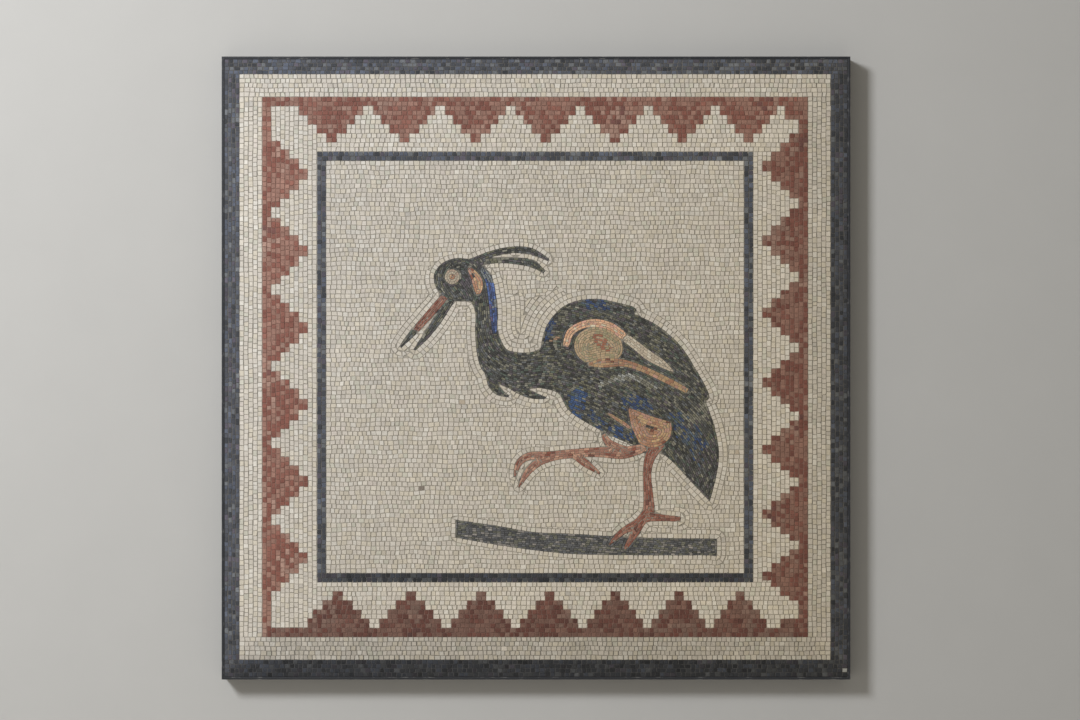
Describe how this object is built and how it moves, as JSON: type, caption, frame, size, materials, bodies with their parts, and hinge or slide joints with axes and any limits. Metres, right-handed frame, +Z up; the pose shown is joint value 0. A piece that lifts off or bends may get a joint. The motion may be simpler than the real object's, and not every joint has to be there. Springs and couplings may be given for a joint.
{
  "type": "mosaic wall panel",
  "caption": "Square mosaic panel of small stones in a slim dark metal edge: stepped red border round a cream field with a crested wading bird.",
  "frame": {"origin": "middle of the flat back face, which lies against the wall", "axes": "+Z up along the panel's height, +X to the right as the picture is seen, +Y out of the back into the wall; the picture faces -Y"},
  "size_m": [1.006, 0.035, 0.997],
  "materials": {
    "edge_metal": "satin dark grey paint, worn bright at the corners",
    "mortar": "matte cement mortar, grey-taupe",
    "charcoal_stone": "matte charcoal and blue-grey stone",
    "cream_stone": "matte cream limestone",
    "brick_red_stone": "matte brick-red and dusty pink stone",
    "plumage_stone": "matte dark stone slivers, charcoal, olive and grey mixed",
    "blue_stone": "matte blue slivers",
    "ochre_stone": "matte ochre stone",
    "peach_stone": "matte peach stone",
    "tan_stone": "matte tan and olive stone",
    "terracotta_stone": "matte terracotta and pink-brown stone",
    "ground_stone": "matte dark grey slivers"
  },
  "bodies": {
    "root": {"edge_frame": "edge_metal", "mortar_slab": "mortar", "outer_border": "charcoal_stone", "outer_cream_band": "cream_stone", "stepped_border": "brick_red_stone", "inner_cream_band": "cream_stone", "border_line": "charcoal_stone", "field": "cream_stone", "field_under_belly": "cream_stone", "field_between_toes": "cream_stone", "ground_bar": "ground_stone", "bird_body": "plumage_stone", "bird_nape_stripe": "blue_stone", "bird_cheek": "ochre_stone", "bird_eye_pupil": "ochre_stone", "bird_eye_ring": "peach_stone", "bird_beak_upper": "terracotta_stone", "bird_beak_tip": "plumage_stone", "bird_beak_lower": "plumage_stone", "bird_shoulder_band": "peach_stone", "bird_shoulder_patch": "tan_stone", "bird_wing_stripe_cream": "cream_stone", "bird_wing_stripe_ochre": "ochre_stone", "bird_flank_stripe": "ochre_stone", "bird_thigh": "ochre_stone", "bird_leg_raised": "terracotta_stone", "bird_leg_standing": "terracotta_stone"}
  },
  "joints": []
}
